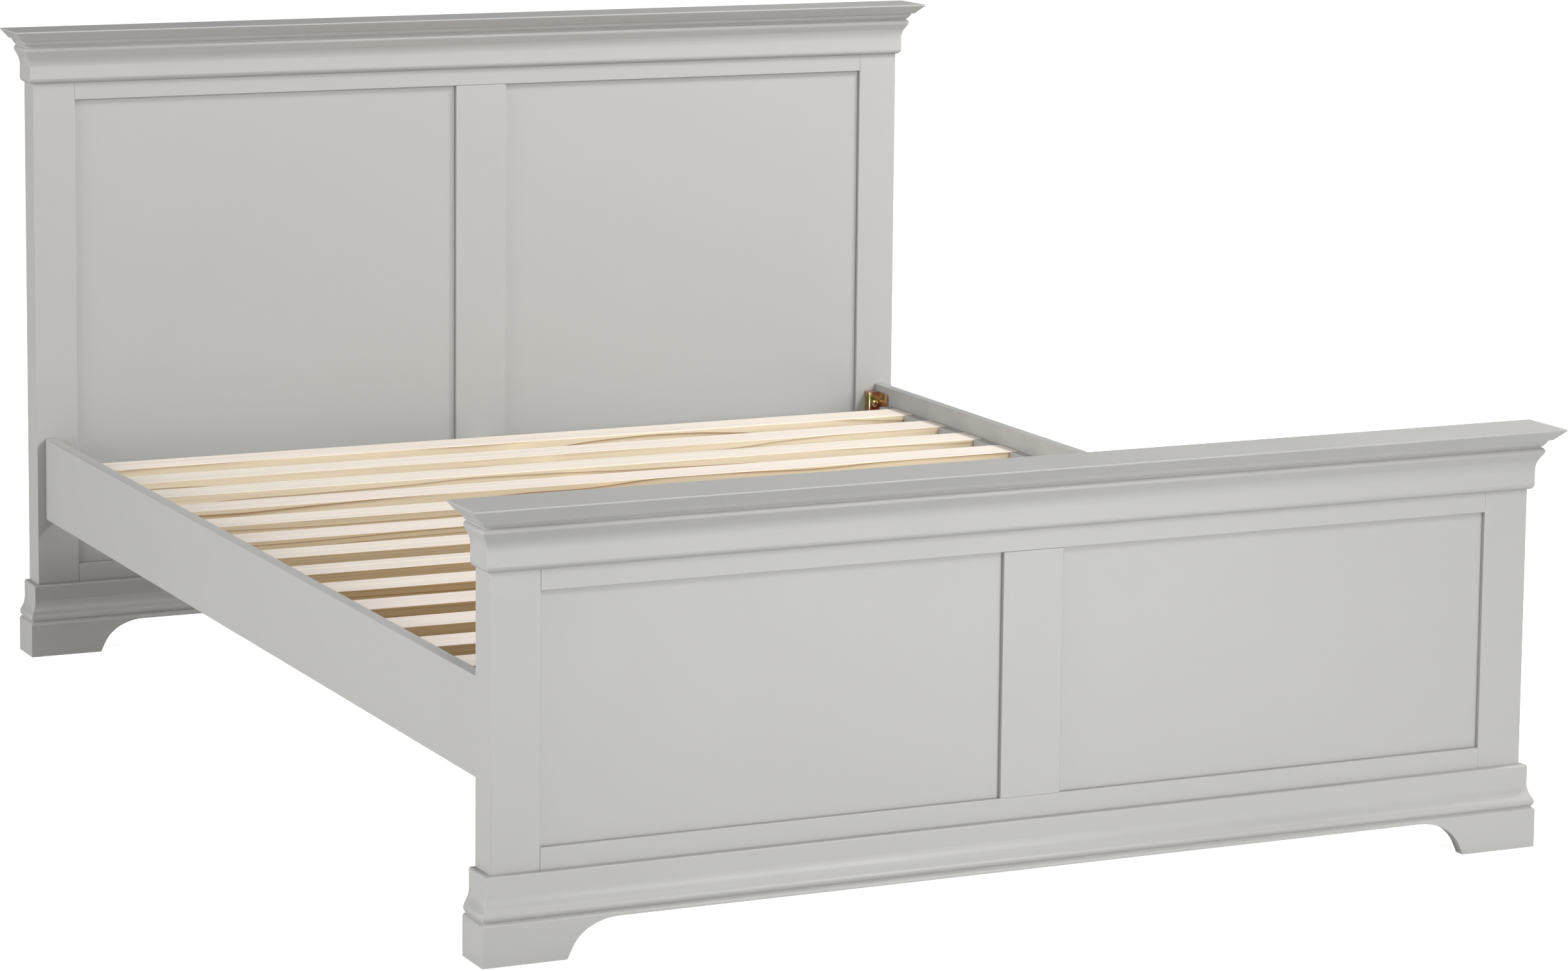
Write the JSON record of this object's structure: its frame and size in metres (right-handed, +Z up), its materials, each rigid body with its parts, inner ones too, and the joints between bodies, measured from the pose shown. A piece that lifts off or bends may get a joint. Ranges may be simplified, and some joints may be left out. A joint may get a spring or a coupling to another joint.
{
  "type": "panelled wooden bed frame",
  "caption": "Painted wooden bed frame with a tall panelled headboard, a lower matching footboard, side rails and loose slats for a 1500 by 2000 mm mattress.",
  "frame": {"origin": "middle of the bounding box's base, on the floor", "axes": "+X to the right seen from the foot of the bed, +Y from the foot to the head, +Z up"},
  "size_m": [1.699, 2.1614, 1.07],
  "materials": {
    "painted_wood": "satin",
    "pine": "matte",
    "plated_steel": "satin",
    "plated_fastener": "satin",
    "zinc_steel": "satin",
    "glide_plastic": "matte"
  },
  "bodies": {
    "frame": {"bracket_bolts": "plated_fastener", "centre_leg": "pine", "centre_rail": "pine", "centre_rail_hangers": "plated_steel", "corner_brackets": "plated_steel", "footboard_base_moulding_front": "painted_wood", "footboard_base_moulding_left": "painted_wood", "footboard_base_moulding_right": "painted_wood", "footboard_bottom_rail": "painted_wood", "footboard_cap": "painted_wood", "footboard_cornice_front": "painted_wood", "footboard_cornice_left": "painted_wood", "footboard_cornice_right": "painted_wood", "footboard_left_panel": "painted_wood", "footboard_left_post": "painted_wood", "footboard_mullion": "painted_wood", "footboard_plinth_front": "painted_wood", "footboard_plinth_left": "painted_wood", "footboard_plinth_right": "painted_wood", "footboard_right_panel": "painted_wood", "footboard_right_post": "painted_wood", "footboard_top_rail": "painted_wood", "headboard_base_moulding_front": "painted_wood", "headboard_base_moulding_left": "painted_wood", "headboard_base_moulding_right": "painted_wood", "headboard_bottom_rail": "painted_wood", "headboard_cap": "painted_wood", "headboard_cornice_front": "painted_wood", "headboard_cornice_left": "painted_wood", "headboard_cornice_right": "painted_wood", "headboard_left_panel": "painted_wood", "headboard_left_post": "painted_wood", "headboard_mullion": "painted_wood", "headboard_plinth_front": "painted_wood", "headboard_plinth_left": "painted_wood", "headboard_plinth_right": "painted_wood", "headboard_right_panel": "painted_wood", "headboard_right_post": "painted_wood", "headboard_top_rail": "painted_wood", "left_ledger": "painted_wood", "left_side_rail": "painted_wood", "right_ledger": "painted_wood", "right_side_rail": "painted_wood", "threaded_inserts": "zinc_steel", "wood_screws": "plated_fastener"},
    "slat_01_body": {"slat_01": "pine"},
    "slat_02_body": {"slat_02": "pine"},
    "slat_03_body": {"slat_03": "pine"},
    "slat_04_body": {"slat_04": "pine"},
    "slat_05_body": {"slat_05": "pine"},
    "slat_06_body": {"slat_06": "pine"},
    "slat_07_body": {"slat_07": "pine"},
    "slat_08_body": {"slat_08": "pine"},
    "slat_09_body": {"slat_09": "pine"},
    "slat_10_body": {"slat_10": "pine"},
    "slat_11_body": {"slat_11": "pine"},
    "slat_12_body": {"slat_12": "pine"},
    "slat_13_body": {"slat_13": "pine"},
    "slat_14_body": {"slat_14": "pine"},
    "glide": {"leg_glide": "glide_plastic"}
  },
  "joints": [
    {"name": "slat_01_lift", "type": "slide", "parent": "frame", "child": "slat_01_body", "axis": [0, 0, 1], "range_m": [0, 0.08]},
    {"name": "slat_02_lift", "type": "slide", "parent": "frame", "child": "slat_02_body", "axis": [0, 0, 1], "range_m": [0, 0.08]},
    {"name": "slat_03_lift", "type": "slide", "parent": "frame", "child": "slat_03_body", "axis": [0, 0, 1], "range_m": [0, 0.08]},
    {"name": "slat_04_lift", "type": "slide", "parent": "frame", "child": "slat_04_body", "axis": [0, 0, 1], "range_m": [0, 0.08]},
    {"name": "slat_05_lift", "type": "slide", "parent": "frame", "child": "slat_05_body", "axis": [0, 0, 1], "range_m": [0, 0.08]},
    {"name": "slat_06_lift", "type": "slide", "parent": "frame", "child": "slat_06_body", "axis": [0, 0, 1], "range_m": [0, 0.08]},
    {"name": "slat_07_lift", "type": "slide", "parent": "frame", "child": "slat_07_body", "axis": [0, 0, 1], "range_m": [0, 0.08]},
    {"name": "slat_08_lift", "type": "slide", "parent": "frame", "child": "slat_08_body", "axis": [0, 0, 1], "range_m": [0, 0.08]},
    {"name": "slat_09_lift", "type": "slide", "parent": "frame", "child": "slat_09_body", "axis": [0, 0, 1], "range_m": [0, 0.08]},
    {"name": "slat_10_lift", "type": "slide", "parent": "frame", "child": "slat_10_body", "axis": [0, 0, 1], "range_m": [0, 0.08]},
    {"name": "slat_11_lift", "type": "slide", "parent": "frame", "child": "slat_11_body", "axis": [0, 0, 1], "range_m": [0, 0.08]},
    {"name": "slat_12_lift", "type": "slide", "parent": "frame", "child": "slat_12_body", "axis": [0, 0, 1], "range_m": [0, 0.08]},
    {"name": "slat_13_lift", "type": "slide", "parent": "frame", "child": "slat_13_body", "axis": [0, 0, 1], "range_m": [0, 0.08]},
    {"name": "slat_14_lift", "type": "slide", "parent": "frame", "child": "slat_14_body", "axis": [0, 0, 1], "range_m": [0, 0.08]},
    {"name": "glide_level", "type": "slide", "parent": "frame", "child": "glide", "axis": [0, 0, 1], "range_m": [-0.008, 0.006]}
  ]
}
